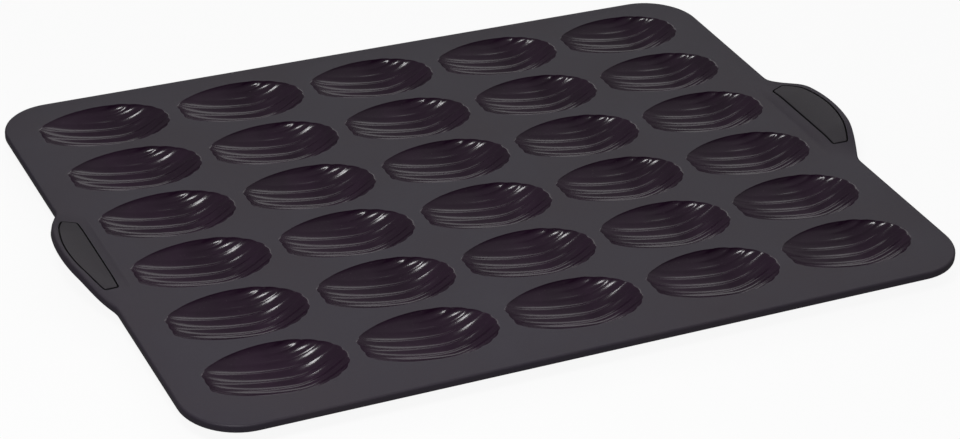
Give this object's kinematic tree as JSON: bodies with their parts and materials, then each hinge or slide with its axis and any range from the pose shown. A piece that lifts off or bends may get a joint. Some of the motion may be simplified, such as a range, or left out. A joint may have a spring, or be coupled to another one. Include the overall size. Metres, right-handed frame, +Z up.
{
  "type": "madeleine pan",
  "caption": "Flexible silicone baking tray with rows of fluted shell shaped cavities, a stiff wired rim and a raised grip wing at each short end.",
  "frame": {"origin": "middle of the tray on the surface that it stands on", "axes": "+X along the cavities from their narrow ends to their scalloped ends, +Y to the back, +Z up"},
  "size_m": [0.4224, 0.311, 0.021],
  "materials": {
    "matte_silicone": "matte moulded silicone rubber, dark grey",
    "gloss_silicone": "the same silicone off a polished tool: glossy, dark plum grey",
    "pad_silicone": "satin silicone pad, dark grey",
    "spring_steel_wire": "drawn stainless steel wire",
    "steel_plate": "stamped stainless steel strip"
  },
  "bodies": {
    "root": {"tray_sheet": "matte_silicone", "rim_wire": "spring_steel_wire", "wing_left": "matte_silicone", "wing_right": "matte_silicone", "grip_plate_left": "steel_plate", "grip_plate_right": "steel_plate", "grip_pad_left": "pad_silicone", "grip_pad_right": "pad_silicone", "cup_r1_c1": "gloss_silicone", "cup_r1_c2": "gloss_silicone", "cup_r1_c3": "gloss_silicone", "cup_r1_c4": "gloss_silicone", "cup_r1_c5": "gloss_silicone", "cup_r2_c1": "gloss_silicone", "cup_r2_c2": "gloss_silicone", "cup_r2_c3": "gloss_silicone", "cup_r2_c4": "gloss_silicone", "cup_r2_c5": "gloss_silicone", "cup_r3_c1": "gloss_silicone", "cup_r3_c2": "gloss_silicone", "cup_r3_c3": "gloss_silicone", "cup_r3_c4": "gloss_silicone", "cup_r3_c5": "gloss_silicone", "cup_r4_c1": "gloss_silicone", "cup_r4_c2": "gloss_silicone", "cup_r4_c3": "gloss_silicone", "cup_r4_c4": "gloss_silicone", "cup_r4_c5": "gloss_silicone", "cup_r5_c1": "gloss_silicone", "cup_r5_c2": "gloss_silicone", "cup_r5_c3": "gloss_silicone", "cup_r5_c4": "gloss_silicone", "cup_r5_c5": "gloss_silicone", "cup_r6_c1": "gloss_silicone", "cup_r6_c2": "gloss_silicone", "cup_r6_c3": "gloss_silicone", "cup_r6_c4": "gloss_silicone", "cup_r6_c5": "gloss_silicone"}
  },
  "joints": []
}
